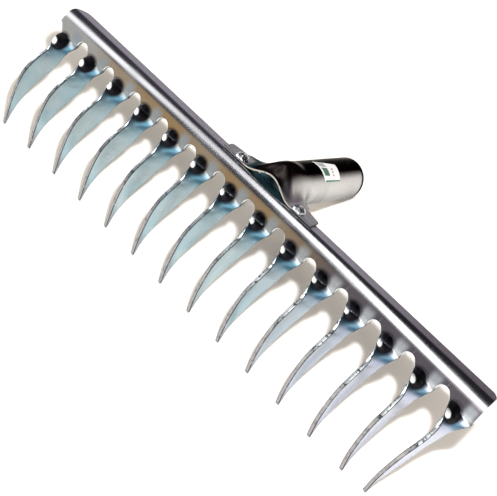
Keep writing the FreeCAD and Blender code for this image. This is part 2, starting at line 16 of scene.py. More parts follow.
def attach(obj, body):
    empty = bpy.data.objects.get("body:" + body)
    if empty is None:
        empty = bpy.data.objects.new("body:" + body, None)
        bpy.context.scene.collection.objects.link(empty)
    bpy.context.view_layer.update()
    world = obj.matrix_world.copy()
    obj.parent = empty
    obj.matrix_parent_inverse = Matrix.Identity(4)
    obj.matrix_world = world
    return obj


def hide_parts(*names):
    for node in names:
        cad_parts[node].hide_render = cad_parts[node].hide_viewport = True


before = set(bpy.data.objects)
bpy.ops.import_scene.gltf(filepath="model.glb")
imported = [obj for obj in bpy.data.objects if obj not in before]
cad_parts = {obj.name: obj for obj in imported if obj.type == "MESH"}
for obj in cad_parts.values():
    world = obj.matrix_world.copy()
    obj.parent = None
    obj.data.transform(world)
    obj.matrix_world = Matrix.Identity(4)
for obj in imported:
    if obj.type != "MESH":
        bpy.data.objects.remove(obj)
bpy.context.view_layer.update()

# ---------------------------------------------------------------- sizes, head frame, mm

TOOTH_COUNT = 14
PITCH = 27.0
BAR_END = 187.45
SHEET = 2.6

# Where the teeth's own x is counted from: FIRST_BUMP is the first tooth's place on the bar.
FIRST_BUMP = -(TOOTH_COUNT - 1) / 2 * PITCH

# The plate bends back over the ridge into the flange, whose ends are rounded at the corners.
RIDGE_START = 9.5
RIDGE_RADIUS = 10.0
FLANGE_RISE = math.radians(16.0)
FLANGE_LENGTH = 5.9
CORNER_LEFT = 11.0
CORNER_RIGHT = 5.5

# The gap between two teeth: the round crown, its slope down to the left edge, both teeth's edges.
GAP_ARC = 4.0
GAP_CENTRE = (14.5, 2.5)
GAP_SLOPE = math.radians(40.0)
TOOTH_LEFT = -5.5
TOOTH_RIGHT = 10.5

# The bumps at the roots, and the painted highlight on each, across and down from the bump's middle.
BUMP_X = -1.8
BUMP_RADIUS = 6.2
BUMP_HEIGHT = 3.9
GLINT = (-2.1, 1.5)

# The bumps are not all pressed at the same height: how far below the bump line each one sits.
BUMP_SAG = (3.6, 2.4, 1.0, 0.8, 0.4, 0.2, 0.0, 0.0, 0.0, -0.3, -0.3, 0.0, 1.4, 1.8)

# Where the head frame's origin lies in the row frame, and how far the head leans forward there.
LEAN = math.radians(-36.8240489641428)
ORIGIN = Vector((0.0, -0.0415206, 0.0574922))

# How far down, middle x and y, width, and turn from the plane of the plate.
BLADE = (
    (0.0, 2.5, 1.3, 16.0, 2.0),
    (6.0, 2.7, -3.3, 13.0, 37.0),
    (12.0, 2.6, -4.4, 13.5, 67.0),
    (18.0, 2.3, -5.8, 18.0, 78.0),
    (25.0, 1.6, -7.2, 19.6, 82.0),
    (33.0, 1.0, -8.4, 17.2, 81.0),
    (42.0, 0.7, -8.7, 12.2, 78.0),
    (52.0, 0.7, -7.5, 7.4, 75.0),
    (62.0, 1.2, -5.6, 3.8, 72.0),
    (72.0, 2.6, -3.7, 1.2, 72.0),
)

# The last tooth leans to the left and back at its tip, and has a small web on its right at the root.
END_LEAN = -9.0
END_BOW = 2.3
END_WEB = 1.5
END_WEB_RUN = 9.0

# The socket's tube and the slope of its axis.
SOCKET_RADIUS = 15.0
SOCKET_WALL = 1.5
SOCKET_RISE = math.radians(10.8)
AXIS_HEIGHT = 16.8
TUBE_END = 124.0


def to_row(x, y, z):
    """A head-frame point in the row frame, in metres."""
    c, s = math.cos(LEAN), math.sin(LEAN)
    return Vector((x, y * c - z * s, y * s + z * c)) / 1000 + ORIGIN


def direction(x, y, z):
    """A head-frame direction in the row frame."""
    c, s = math.cos(LEAN), math.sin(LEAN)
    return Vector((x, y * c - z * s, y * s + z * c))


def smooth(value):
    """0 up to 0 and 1 from 1 on, with no kink at either end."""
    held = min(max(value, 0.0), 1.0)
    return held**3 * (10 - 15 * held + 6 * held**2)


# ---------------------------------------------------------------- mesh helpers

def blade_slope(row, column):
    """Slope of one of the blade table's columns at that row."""
    before = BLADE[max(row - 1, 0)]
    after = BLADE[min(row + 1, len(BLADE) - 1)]
    return (after[column] - before[column]) / (after[0] - before[0])


def blade_section(drop):
    """Middle x and y, width and turn of a blade that far down, smoothly between the table's rows."""
    row = 0
    while row < len(BLADE) - 2 and drop > BLADE[row + 1][0]:
        row += 1
    run = BLADE[row + 1][0] - BLADE[row][0]
    at = (drop - BLADE[row][0]) / run
    numbers = []
    for column in range(1, len(BLADE[0])):
        start = BLADE[row][column]
        step = BLADE[row + 1][column] - start
        leave = blade_slope(row, column) * run
        arrive = blade_slope(row + 1, column) * run
        bend = 3 * step - 2 * leave - arrive
        numbers.append(start + at * (leave + at * (bend + at * (leave + arrive - 2 * step))))
    return numbers


def new_piece(name, mesh, slot, *nodes):
    """A finished object that stands for those CAD nodes."""
    obj = bpy.data.objects.new(name, mesh)
    bpy.context.scene.collection.objects.link(obj)
    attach(obj, "root")
    if nodes:
        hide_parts(*nodes)
    return obj


# Painted where a bump and its bright spot are too far off to show.
FAR = 9.0


class Sheet:
    """A sheet's middle surface, with numbers painted on its points for the materials to read.

    drop is the way down the head or back along the socket, side the way across a tooth or round the
    socket, both in mm. bump and glint are distances from a bump and from the highlight painted on it.
    """

    def __init__(self):
        self.points = []
        self.index = {}
        self.faces = []
        self.marks = {"drop": [], "side": [], "bump": [], "glint": []}

    def point(self, head, drop, side, bump=FAR, glint=FAR):
        """Number of the point at that head-frame place, which is added if it is new."""
        key = tuple(round(c, 4) for c in head)
        if key not in self.index:
            self.index[key] = len(self.points)
            self.points.append(to_row(*head))
            for name, number in zip(self.marks, (drop, side, bump, glint)):
                self.marks[name].append(number)
        return self.index[key]

    def grid(self, rows):
        """Faces between rows of point numbers."""
        for upper, lower in zip(rows, rows[1:]):
            for k in range(len(upper) - 1):
                corners = (upper[k], upper[k + 1], lower[k + 1], lower[k])
                if len(set(corners)) == 4:
                    self.faces.append(corners)

    def mesh(self, name):
        """The sheet as a mesh that carries the painted numbers."""
        mesh = bpy.data.meshes.new(name)
        mesh.from_pydata(self.points, [], self.faces)
        for mark, numbers in self.marks.items():
            layer = mesh.attributes.new(mark, "FLOAT", "POINT")
            layer.data.foreach_set("value", numbers)
        mesh.update()
        return mesh


# Edges that turn by more than this are rounded, and the rounding is painted as a dark line.
ROUNDING_FROM = math.radians(50)


def thicken(obj, wall, bevel, materials, inner=0):
    """Gives the sheet its thickness.

    The materials are for its faces, its cut edges, the rounding along them, which is painted with shade
    and highlight, and, where inner is 3, its inner side.
    """
    for material in materials:
        obj.data.materials.append(material)
    solid = obj.modifiers.new("thickness", "SOLIDIFY")
    solid.thickness = wall / 1000
    solid.offset = 0
    solid.use_rim = True
    solid.material_offset = inner
    solid.material_offset_rim = 1
    solid.use_even_offset = False
    edge = obj.modifiers.new("edges", "BEVEL")
    edge.width = bevel / 1000
    edge.segments = 2
    edge.limit_method = "ANGLE"
    edge.angle_limit = ROUNDING_FROM
    edge.use_clamp_overlap = False
    edge.material = 2


def shade(mesh, degrees):
    """Smooth shading, with sharp edges where faces turn by more than that."""
    for polygon in mesh.polygons:
        polygon.use_smooth = True
    mesh.set_sharp_from_angle(angle=math.radians(degrees))


def bake_modifiers(obj):
    """Turns an object's modifiers into its mesh."""
    graph = bpy.context.evaluated_depsgraph_get()
    graph.update()
    done = bpy.data.meshes.new_from_object(obj.evaluated_get(graph), preserve_all_data_layers=True,
                                           depsgraph=graph)
    old = obj.data
    obj.modifiers.clear()
    obj.data = done
    bpy.data.meshes.remove(old)


# ---------------------------------------------------------------- rake head

# Steps across a tooth or its stretch of bar, and the rounding's width in mm along cut edges.
CELL_STEPS = 36
EDGE_ROUNDING = 0.42

# The root rows run from this height down to the bump line, closer together near the gap's crown.
ROOT_TOP = 7.5
ROOT_STEPS = 16
ROOT_CROWDING = 1.25

# Height above the bump line, in mm, at which the last tooth's right edge leaves the bar's end.
END_STEP = 0.4

# Rows down a blade: close together over the twist, then further apart, then the tip.
TWIST_STEP = 0.6
TWIST_ROWS = 30
TWIST_RUN = 18.0
LOWER_STEP = 1.35
LOWER_ROWS = 39
BLADE_DROPS = [TWIST_STEP * k for k in range(1, TWIST_ROWS + 1)]
BLADE_DROPS += [TWIST_RUN + LOWER_STEP * k for k in range(1, LOWER_ROWS + 1)]
BLADE_DROPS.append(BLADE[-1][0])

# A blade that is CUP_RUN wide is hollowed this deep, fully so from CUP_RUN down, in mm.
CUP = 0.5
CUP_RUN = 20.0

# Rows of the flange, counted in from its free edge, then of the ridge and of the plate below it.
FLANGE_INSETS = (0.0, 0.5, 0.9, 1.4, 2.2, 3.1, 4.1, 5.0, FLANGE_LENGTH)
RIDGE_STEPS = 14
PLATE_STEPS = (0.7, 1.4)

# The corners' rounding fades in over this last stretch of the bar. BELOW_CORNERS, which is more than
# any corner's radius, stands for rows that it doesn't reach.
CORNER_ZONE = 16.0
BELOW_CORNERS = 99.0

# Faces that turn by more degrees than this meet in a sharp edge.
SHARP = 38.0


def gap_left(share):
    """Point on a tooth's left edge above its bump line, from the gap's crown down; share is 0 to 1."""
    arc = GAP_ARC * (math.pi / 2 - GAP_SLOPE)
    crown_x = GAP_CENTRE[0] - PITCH
    leave = (crown_x + GAP_ARC * math.cos(GAP_SLOPE), GAP_CENTRE[1] + GAP_ARC * math.sin(GAP_SLOPE))
    ramp = (TOOTH_LEFT - leave[0]) / math.sin(GAP_SLOPE)
    foot = leave[1] - ramp * math.cos(GAP_SLOPE)
    at = share * (arc + ramp + foot)
    if at < arc:
        turn = math.pi / 2 - at / GAP_ARC
        return crown_x + GAP_ARC * math.cos(turn), GAP_CENTRE[1] + GAP_ARC * math.sin(turn)
    at -= arc
    if at < ramp:
        return leave[0] + at * math.sin(GAP_SLOPE), leave[1] - at * math.cos(GAP_SLOPE)
    return TOOTH_LEFT, max(foot - (at - ramp), 0.0)


def gap_right(share):
    """The same for a tooth's right edge."""
    arc = GAP_ARC * math.pi / 2
    at = share * (arc + GAP_CENTRE[1])
    if at < arc:
        turn = math.pi / 2 + at / GAP_ARC
        return GAP_CENTRE[0] + GAP_ARC * math.cos(turn), GAP_CENTRE[1] + GAP_ARC * math.sin(turn)
    return TOOTH_RIGHT, max(GAP_CENTRE[1] - (at - arc), 0.0)


def from_bump(number, across, drop):
    """Distances from that tooth's bump, as a share of its radius, and from the bump's painted
    highlight.
    """
    drop -= BUMP_SAG[number]
    return math.hypot(across, drop) / BUMP_RADIUS, math.hypot(across - GLINT[0], drop - GLINT[1])


def bump_lift(reach):
    """How far the sheet stands forward in the bump at a tooth's root."""
    return BUMP_HEIGHT * (1 - smooth(reach))


def cell_edges(number):
    """Left and right ends of a tooth's stretch of bar, measured from its bump."""
    left = GAP_CENTRE[0] - PITCH if number else -BAR_END - FIRST_BUMP
    right = GAP_CENTRE[0] if number < TOOTH_COUNT - 1 else BAR_END + FIRST_BUMP
    return left, right


def columns(width):
    """Places across a strip of sheet, 0 to 1, with a clear margin for the rounding at each cut edge."""
    margin = min(EDGE_ROUNDING * 1.1 / width, 0.2)
    inner = CELL_STEPS - 2
    return [0.0, *(margin + (1 - 2 * margin) * k / inner for k in range(inner + 1)), 1.0]


def root_ends(number, share):
    """Both ends of a row of the root, from the gap's crown at share 0 down to the bump line at 1."""
    first, last = cell_edges(number)
    left = gap_left(share)
    right = gap_right(share)
    if number == 0:
        left = (max(left[0], first), left[1])
    if number == TOOTH_COUNT - 1:
        right = (last, (1 - share) * (GAP_CENTRE[1] + GAP_ARC) + share * END_STEP)
    return left, right


def root_rows(sheet, number):
    """Rows of points from the plate down to the bump line, narrowing round the gaps."""
    bump_x = FIRST_BUMP + number * PITCH
    first, last = cell_edges(number)
    even = [k / CELL_STEPS for k in range(CELL_STEPS + 1)]
    spans = [((first, ROOT_TOP), (last, ROOT_TOP), even)]
    for step in range(ROOT_STEPS + 1):
        left, right = root_ends(number, (step / ROOT_STEPS) ** ROOT_CROWDING)
        spans.append((left, right, columns(right[0] - left[0])))
    rows = []
    for left, right, places in spans:
        row = []
        for s in places:
            x = left[0] + (right[0] - left[0]) * s
            z = left[1] + (right[1] - left[1]) * s
            reach, glint = from_bump(number, x - BUMP_X, -z)
            y = SHEET / 2 - bump_lift(reach)
            row.append(sheet.point((bump_x + x, y, z), -z, x, reach, glint))
        rows.append(row)
    return rows


def blade_rows(sheet, number):
    """Rows of points down a tooth's twisted blade to its tip."""
    bump_x = FIRST_BUMP + number * PITCH
    top_x, top_width = BLADE[0][1], BLADE[0][3]
    rows = []
    for drop in BLADE_DROPS:
        mid_x, mid_y, width, degrees = blade_section(drop)
        if number == TOOTH_COUNT - 1:
            share = drop / BLADE[-1][0]
            mid_x += END_LEAN * share**1.5
            mid_y += END_BOW * share
            web = END_WEB * (1 - smooth(drop / END_WEB_RUN))
            mid_x += web / 2
            width += web
        turn = math.radians(degrees)
        row = []
        for place in columns(width):
            s = place - 0.5
            across = width * s
            reach, glint = from_bump(number, across + (top_x - BUMP_X) * (width / top_width), drop)
            cup = CUP * smooth(drop / CUP_RUN) * (1 - (2 * s) ** 2) * width / CUP_RUN
            forward = bump_lift(reach) - cup
            x = mid_x + across * math.cos(turn) + forward * math.sin(turn)
            y = mid_y + across * math.sin(turn) - forward * math.cos(turn)
            row.append(sheet.point((bump_x + x, y, -drop), drop, across, reach, glint))
        rows.append(row)
    return rows


def bar_section():
    """Middle of the bar's sheet from the flange's free edge down to ROOT_TOP: distance in, y and z."""
    radius = RIDGE_RADIUS - SHEET / 2
    centre = (RIDGE_RADIUS, RIDGE_START)
    stations = []
    for inset in FLANGE_INSETS:
        along = FLANGE_LENGTH - inset
        turn = math.pi / 2 + FLANGE_RISE
        y = centre[0] + radius * math.cos(turn) + along * math.cos(FLANGE_RISE)
        z = centre[1] + radius * math.sin(turn) + along * math.sin(FLANGE_RISE)
        stations.append((inset, y, z))
    bend = math.pi / 2 - FLANGE_RISE
    for k in range(1, RIDGE_STEPS + 1):
        turn = math.pi / 2 + FLANGE_RISE + bend * k / RIDGE_STEPS
        y = centre[0] + radius * math.cos(turn)
        z = centre[1] + radius * math.sin(turn)
        stations.append((FLANGE_LENGTH + radius * bend * k / RIDGE_STEPS, y, z))
    for step in PLATE_STEPS:
        stations.append((BELOW_CORNERS, SHEET / 2, RIDGE_START - step))
    stations.append((BELOW_CORNERS, SHEET / 2, ROOT_TOP))
    return stations


def corner_cut(inset, radius):
    """How far the bar's end stands back that far in from the flange's free edge."""
    if inset >= radius:
        return 0.0
    return radius - math.sqrt(radius**2 - (radius - inset) ** 2)


def bar_rows(sheet):
    """Rows of points along the whole bar, from the flange's free edge down to ROOT_TOP."""
    places = []
    for number in range(TOOTH_COUNT):
        first, last = cell_edges(number)
        for k in range(1 if number else 0, CELL_STEPS + 1):
            places.append((number, first + (last - first) * k / CELL_STEPS))
    rows = []
    for inset, y, z in bar_section():
        row = []
        for number, side in places:
            x = FIRST_BUMP + number * PITCH + side
            radius = CORNER_LEFT if x < 0 else CORNER_RIGHT
            near = max(abs(x) - (BAR_END - CORNER_ZONE), 0.0) / CORNER_ZONE
            shown = x - math.copysign(corner_cut(inset, radius) * near, x)
            row.append(sheet.point((shown, y, z), -z, side, *from_bump(number, side - BUMP_X, -z)))
        rows.append(row)
    return rows


def make_rake_head(*materials):
    """The pressed head, bar and teeth, as one bent and twisted sheet."""
    sheet = Sheet()
    sheet.grid(bar_rows(sheet))
    for number in range(TOOTH_COUNT):
        sheet.grid(root_rows(sheet, number) + blade_rows(sheet, number))
    obj = new_piece("pressed_head", sheet.mesh("pressed_head"), "plated_bar", "rake_head")
    thicken(obj, SHEET, EDGE_ROUNDING, materials)
    bake_modifiers(obj)
    shade(obj.data, SHARP)


# ---------------------------------------------------------------- handle socket

EAR_FRONT = 5.0
EAR_BACK = 14.0
EAR_HALF = 39.0
NOTCH_BACK = 19.0
NOTCH_HALF = 27.0
TUBE_START = 44.0
ARCH_HALF = 20.0
ARCH_FRONT = 7.0
ARCH_BACK = 15.0
SEAM = 0.6
NAIL_RADIUS = 2.25
NAIL_FROM_RIM = 17.0
NECK_STEPS = 44
TUBE_STEPS = 40
GIRTH_STEPS = 120

# The smooth neck is a little thinner than the CAD wall, so that it stays inside the CAD box.
WALL_TRIM = 0.14
RIM_BEVEL = 0.2

# Where lengths along the tube are counted from.
TUBE_ZERO = 57.8
TUBE_MIDDLE = SOCKET_RADIUS - SOCKET_WALL / 2
FLANGE_Y = RIDGE_RADIUS * (1 - math.sin(FLANGE_RISE))
FLANGE_Z = RIDGE_START + RIDGE_RADIUS * math.cos(FLANGE_RISE)


def flange_height(y):
    """Height of the flange's top face at that y."""
    return FLANGE_Z + (y - FLANGE_Y) * math.tan(FLANGE_RISE)


def socket_axis(y):
    """Height of the socket's axis at that y."""
    return AXIS_HEIGHT + y * math.tan(SOCKET_RISE)


def on_tube(along, degrees, radius):
    """Head-frame point on the socket: along its axis from TUBE_ZERO, round from the top towards +x."""
    turn = math.radians(degrees)
    y = TUBE_ZERO + along * math.cos(SOCKET_RISE)
    out = radius * math.cos(turn)
    z = socket_axis(TUBE_ZERO) + along * math.sin(SOCKET_RISE) + out * math.cos(SOCKET_RISE)
    return radius * math.sin(turn), y - out * math.sin(SOCKET_RISE), z


def blank_half(y):
    """Half the width of the socket's blank: an ear, a notch, then half the tube's girth."""
    girth = math.pi * TUBE_MIDDLE - SEAM / 2
    narrowing = smooth((y - EAR_BACK) / (NOTCH_BACK - EAR_BACK))
    widening = smooth((y - NOTCH_BACK) / (TUBE_START - NOTCH_BACK))
    return EAR_HALF + (NOTCH_HALF - EAR_HALF) * narrowing + (girth - NOTCH_HALF) * widening


def blank_point(y, share):
    """Middle of the socket's sheet at that y, share running from -1 to 1 across it."""
    flat_x = blank_half(y) * share
    ring_x = TUBE_MIDDLE * math.sin(flat_x / TUBE_MIDDLE)
    ring_z = TUBE_MIDDLE * math.cos(flat_x / TUBE_MIDDLE)
    rounding = smooth((y - EAR_FRONT) / (EAR_BACK - EAR_FRONT))
    arch = ARCH_FRONT + (ARCH_BACK - ARCH_FRONT) * rounding
    reach = min(abs(flat_x) / ARCH_HALF, 1.0)
    lift = SOCKET_WALL / 2 / math.cos(FLANGE_RISE)
    flat_z = flange_height(y) + lift + arch * (0.5 + 0.5 * math.cos(math.pi * reach)) - socket_axis(y)
    closing = smooth((y - EAR_BACK) / (TUBE_START - EAR_BACK))
    x = flat_x + (ring_x - flat_x) * closing
    z = flat_z + (ring_z - flat_z) * closing
    return (x, y - z * math.sin(SOCKET_RISE), socket_axis(y) + z * math.cos(SOCKET_RISE)), flat_x


def drilled(obj, foot, way, radius, length):
    """Cuts a round hole through obj; foot and way are in the head frame."""
    cutter_mesh = bpy.data.meshes.new("drill")
    tool = bmesh.new()
    bmesh.ops.create_cone(tool, cap_ends=True, segments=48, radius1=radius / 1000,
                          radius2=radius / 1000, depth=length / 1000)
    tool.to_mesh(cutter_mesh)
    tool.free()
    cutter = bpy.data.objects.new("drill", cutter_mesh)
    bpy.context.scene.collection.objects.link(cutter)
    cutter.rotation_mode = "QUATERNION"
    cutter.rotation_quaternion = direction(*way).to_track_quat("Z", "Y")
    cutter.location = to_row(*foot)
    cut = obj.modifiers.new("hole", "BOOLEAN")
    cut.operation = "DIFFERENCE"
    cut.solver = "EXACT"
    cut.object = cutter
    bpy.context.view_layer.update()
    bake_modifiers(obj)
    bpy.data.objects.remove(cutter)
    bpy.data.meshes.remove(cutter_mesh)


def make_socket(*materials):
    """Ears, arched mouth, neck and tube, as one sheet rolled from its blank, with the nail's hole."""
    sheet = Sheet()
    stations = [EAR_FRONT + (TUBE_START - EAR_FRONT) * k / NECK_STEPS for k in range(NECK_STEPS)]
    stations += [TUBE_START + (TUBE_END - TUBE_START) * k / TUBE_STEPS for k in range(TUBE_STEPS + 1)]
    rows = []
    for y in stations:
        row = []
        for k in range(GIRTH_STEPS + 1):
            place, arc = blank_point(y, -1 + 2 * k / GIRTH_STEPS)
            row.append(sheet.point(place, y, arc))
        rows.append(row)
    sheet.grid(rows)
    obj = new_piece("rolled_socket", sheet.mesh("rolled_socket"), "plated_socket", "handle_socket")
    thicken(obj, SOCKET_WALL - WALL_TRIM, RIM_BEVEL, materials, inner=3)
    bake_modifiers(obj)
    nail_along = (TUBE_END - TUBE_ZERO) / math.cos(SOCKET_RISE) - NAIL_FROM_RIM
    up = (0.0, -math.sin(SOCKET_RISE), math.cos(SOCKET_RISE))
    drilled(obj, on_tube(nail_along, 0.0, TUBE_MIDDLE), up, NAIL_RADIUS, 8.0)
    shade(obj.data, SHARP)


# ---------------------------------------------------------------- rivets and label

RIVET_SPACING = 51.0
RIVET_BACK = 9.0
RIVET_TURNS = 40
TAIL_TOP = -SHEET - SOCKET_WALL

# Radius and height above the ear, from the middle of the head down to the middle of the tail.
RIVET_PROFILE = (
    (0.0, 3.0), (1.0, 2.93), (2.0, 2.68), (3.0, 2.2), (3.9, 1.5), (4.6, 0.75), (4.95, 0.12), (4.9, 0.0),
    (2.5, 0.0), (2.5, TAIL_TOP), (4.1, TAIL_TOP), (4.15, -4.6), (3.4, -5.35), (2.2, -5.8), (0.0, -5.88),
)

# The hammer's dents in the head, as broad waves and small random ones, in mm.
HAMMERED_ABOVE = 0.3
WAVE_DENT = 0.16
RANDOM_DENT = 0.06
DENT_SEED = 11


def make_rivet(name, side, material, node):
    """A hammered round head over the ear and an upset tail under the flange, as one turned body."""
    points = []
    faces = []
    turns = RIVET_TURNS
    seat_z = flange_height(RIVET_BACK)
    tilt = Matrix.Rotation(FLANGE_RISE, 3, "X")
    random = np.random.default_rng(DENT_SEED + side)
    for radius, height in RIVET_PROFILE:
        for k in range(turns):
            turn = 2 * math.pi * k / turns
            dent = 0.0
            if height > HAMMERED_ABOVE:
                dent = WAVE_DENT * math.sin(3 * turn + height * 2.1 + side)
            if height > HAMMERED_ABOVE and radius > 0:
                dent += random.uniform(-RANDOM_DENT, RANDOM_DENT)
            local = Vector((radius * math.cos(turn), radius * math.sin(turn),
                            height + dent * radius / 5))
            place = tilt @ (local + Vector((0, 0, SOCKET_WALL)))
            x = side * RIVET_SPACING / 2 + place.x
            points.append(to_row(x, RIVET_BACK + place.y, seat_z + place.z))
    for row in range(len(RIVET_PROFILE) - 1):
        for k in range(turns):
            after = (k + 1) % turns
            faces.append((row * turns + k, (row + 1) * turns + k,
                          (row + 1) * turns + after, row * turns + after))
    mesh = bpy.data.meshes.new(name)
    mesh.from_pydata(points, [], faces)
    joined = bmesh.new()
    joined.from_mesh(mesh)
    bmesh.ops.remove_doubles(joined, verts=joined.verts, dist=1e-6)
    bmesh.ops.recalc_face_normals(joined, faces=joined.faces)
    joined.to_mesh(mesh)
    joined.free()
    mesh.materials.append(material)
    new_piece(name, mesh, "rivet_steel", node)
    shade(mesh, 50.0)


# Along the tube and degrees round it: left top, left bottom, right bottom, right top. Then the film's
# thickness, the gap under it and how far its left edge lifts, in mm, over that share of its length.
LABEL_CORNERS = ((0.5, -16.0), (1.0, 48.6), (25.0, 50.8), (27.0, 3.6))
LABEL_STEPS = 28
LABEL_FILM = 0.14
LABEL_GLUE = 0.10
LABEL_PEEL = 0.35
PEEL_RUN = 0.12


def label_point(across, down):
    """Head-frame point of the label; its left edge lifts a little, most of all at the top."""
    left_top, left_bottom, right_bottom, right_top = LABEL_CORNERS
    left = [left_top[k] + (left_bottom[k] - left_top[k]) * down for k in (0, 1)]
    right = [right_top[k] + (right_bottom[k] - right_top[k]) * down for k in (0, 1)]
    along, degrees = (left[k] + (right[k] - left[k]) * across for k in (0, 1))
    lift = LABEL_GLUE + LABEL_PEEL * smooth(1 - across / PEEL_RUN) * (1 - 0.6 * down)
    return on_tube(along, degrees, SOCKET_RADIUS + lift)


def make_label(material):
    """A thin printed label stuck askew round the tube, one edge starting to lift."""
    steps = LABEL_STEPS
    points = []
    faces = []
    marks = {"across": [], "down": []}
    for row in range(steps + 1):
        for column in range(steps + 1):
            across, down = column / steps, row / steps
            points.append(to_row(*label_point(across, down)))
            marks["across"].append(across)
            marks["down"].append(down)
    for row in range(steps):
        for column in range(steps):
            k = row * (steps + 1) + column
            faces.append((k, k + steps + 1, k + steps + 2, k + 1))
    mesh = bpy.data.meshes.new("stuck_label")
    mesh.from_pydata(points, [], faces)
    for mark, numbers in marks.items():
        layer = mesh.attributes.new(mark, "FLOAT", "POINT")
        layer.data.foreach_set("value", numbers)
    mesh.materials.append(material)
    obj = new_piece("stuck_label", mesh, "label_film", "label")
    film = obj.modifiers.new("film", "SOLIDIFY")
    film.thickness = LABEL_FILM / 1000
    film.offset = 0
    bake_modifiers(obj)
    shade(obj.data, 60.0)


# ---------------------------------------------------------------- materials

class Net:
    """A short way to write a node tree: every call adds a node and returns its output."""

    def __init__(self, tree):
        self.tree = tree
        tree.nodes.clear()

    def node(self, kind, **settings):
        made = self.tree.nodes.new(kind)
        for name, setting in settings.items():
            setattr(made, name, setting)
        return made

    def feed(self, socket, source):
        """Links an output to the socket, or sets a plain number or colour on it."""
        if hasattr(source, "is_output"):
            self.tree.links.new(source, socket)
        else:
            socket.default_value = source

    def math(self, operation, *sources):
        made = self.node("ShaderNodeMath", operation=operation)
        for socket, source in zip(made.inputs, sources):
            self.feed(socket, source)
        return made.outputs[0]

    def plus(self, first, second):
        return self.math("ADD", first, second)

    def minus(self, first, second):
        return self.math("SUBTRACT", first, second)

    def times(self, first, second):
        return self.math("MULTIPLY", first, second)

    def size(self, source):
        """The number without its sign."""
        return self.math("ABSOLUTE", source)

    def mark(self, name):
        """A number painted on the mesh's points."""
        return self.node("ShaderNodeAttribute", attribute_name=name).outputs["Fac"]

    def place(self):
        """A point's place on the object, in metres."""
        return self.node("ShaderNodeTexCoord").outputs["Object"]

    def noise(self, scale, detail, roughness):
        """Cloudy numbers around 0.5, finer where the scale is larger."""
        made = self.node("ShaderNodeTexNoise")
        self.feed(made.inputs["Vector"], self.place())
        made.inputs["Scale"].default_value = scale
        made.inputs["Detail"].default_value = detail
        made.inputs["Roughness"].default_value = roughness
        return made.outputs["Fac"]

    def step(self, source, low, high):
        """0 before low and 1 past high, smoothly; high may be the smaller number."""
        made = self.node("ShaderNodeMapRange", interpolation_type="SMOOTHERSTEP")
        self.feed(made.inputs["Value"], source)
        made.inputs["From Min"].default_value = low
        made.inputs["From Max"].default_value = high
        return made.outputs["Result"]

    def band(self, source, rise, fall):
        """1 between two smooth edges, each given from its dark end to its full end."""
        return self.times(self.step(source, *rise), self.step(source, *fall))

    def span(self, source, low, high, to_low, to_high):
        """Goes evenly from to_low at low to to_high at high, and stays there."""
        made = self.node("ShaderNodeMapRange")
        self.feed(made.inputs["Value"], source)
        names = ("From Min", "From Max", "To Min", "To Max")
        for name, number in zip(names, (low, high, to_low, to_high)):
            made.inputs[name].default_value = number
        return made.outputs["Result"]

    def mix(self, share, first, second):
        """The first colour where share is 0 and the second where it is 1."""
        made = self.node("ShaderNodeMix", data_type="RGBA")
        self.feed(made.inputs["Factor"], share)
        self.feed(made.inputs["A"], (*first, 1) if isinstance(first, tuple) else first)
        self.feed(made.inputs["B"], (*second, 1) if isinstance(second, tuple) else second)
        return made.outputs["Result"]

    def bump(self, height, strength, distance):
        """Fine relief, up to that distance in metres."""
        made = self.node("ShaderNodeBump")
        made.inputs["Strength"].default_value = strength
        made.inputs["Distance"].default_value = distance
        self.feed(made.inputs["Height"], height)
        return made.outputs["Normal"]


def new_material(name):
    """A material with one shader, and the net to feed it."""
    material = bpy.data.materials.new(name)
    material.use_nodes = True
    net = Net(material.node_tree)
    shader = net.node("ShaderNodeBsdfPrincipled")
    out = net.node("ShaderNodeOutputMaterial")
    net.tree.links.new(shader.outputs[0], out.inputs["Surface"])
    return material, net, shader


def finish_material(net, shader, colour, roughness, normal=None, metallic=1.0):
    """Sets the colour, gloss, fine relief and metal of a shader."""
    net.feed(shader.inputs["Base Color"], colour)
    net.feed(shader.inputs["Roughness"], roughness)
    shader.inputs["Metallic"].default_value = metallic
    if normal is not None:
        net.feed(shader.inputs["Normal"], normal)


def along_bar(net):
    """Where a point lies along the bar, in metres from its middle."""
    split = net.node("ShaderNodeSeparateXYZ")
    net.tree.links.new(net.place(), split.inputs[0])
    return split.outputs["X"]


# Tones of the pressed head, some of them painted reflections, shade and highlights, as marked.
BLADE_BLUE = ((0.36, 0.51, 0.58), (0.46, 0.57, 0.62))
# Painted shade: a darker blue near the blades' roots.
ROOT_BLUE_SHADE = (0.27, 0.42, 0.50)
LAVENDER = (0.47, 0.52, 0.66)
TIP_GREY = (0.28, 0.30, 0.34)
# Painted reflections on the plate: tan, purple-grey towards the right end, pale zinc at the left end.
TAN_REFLECTION = ((0.60, 0.41, 0.22), (0.60, 0.49, 0.36))
PURPLE_GREY_REFLECTION = (0.25, 0.22, 0.24)
LEFT_ZINC_REFLECTION = (0.70, 0.70, 0.68)
RIDGE_ZINC = (0.66, 0.66, 0.70)
# Painted reflections: paler patches beside each bump, bluer at the left.
CHEEK_REFLECTIONS = ((0.58, 0.64, 0.68), (0.95, 0.98, 1.0))
# Painted reflection of each bump, in teal, on the blade just below it.
TEAL_BUMP_REFLECTION = (0.07, 0.19, 0.27)
# Painted dark reflection: the bumps near black, as the dark room mirrored in them.
BUMP_DARK_REFLECTION = (0.018, 0.018, 0.022)
# Painted highlight: the white spot on each bump.
PAINTED_HIGHLIGHT = (1.0, 1.0, 1.0)


def blade_tone(net, x, drop, cloud):
    """Blue blades, darker near the root as painted shade, more lavender to the right and grey at their
    tips.
    """
    blue = net.mix(net.step(cloud, 0.35, 0.65), *BLADE_BLUE)
    blue = net.mix(net.step(drop, 26.0, 4.0), blue, ROOT_BLUE_SHADE)
    tone = net.mix(net.step(x, 0.0, 0.16), blue, LAVENDER)
    return net.mix(net.step(drop, 50.0, 72.0), tone, TIP_GREY)


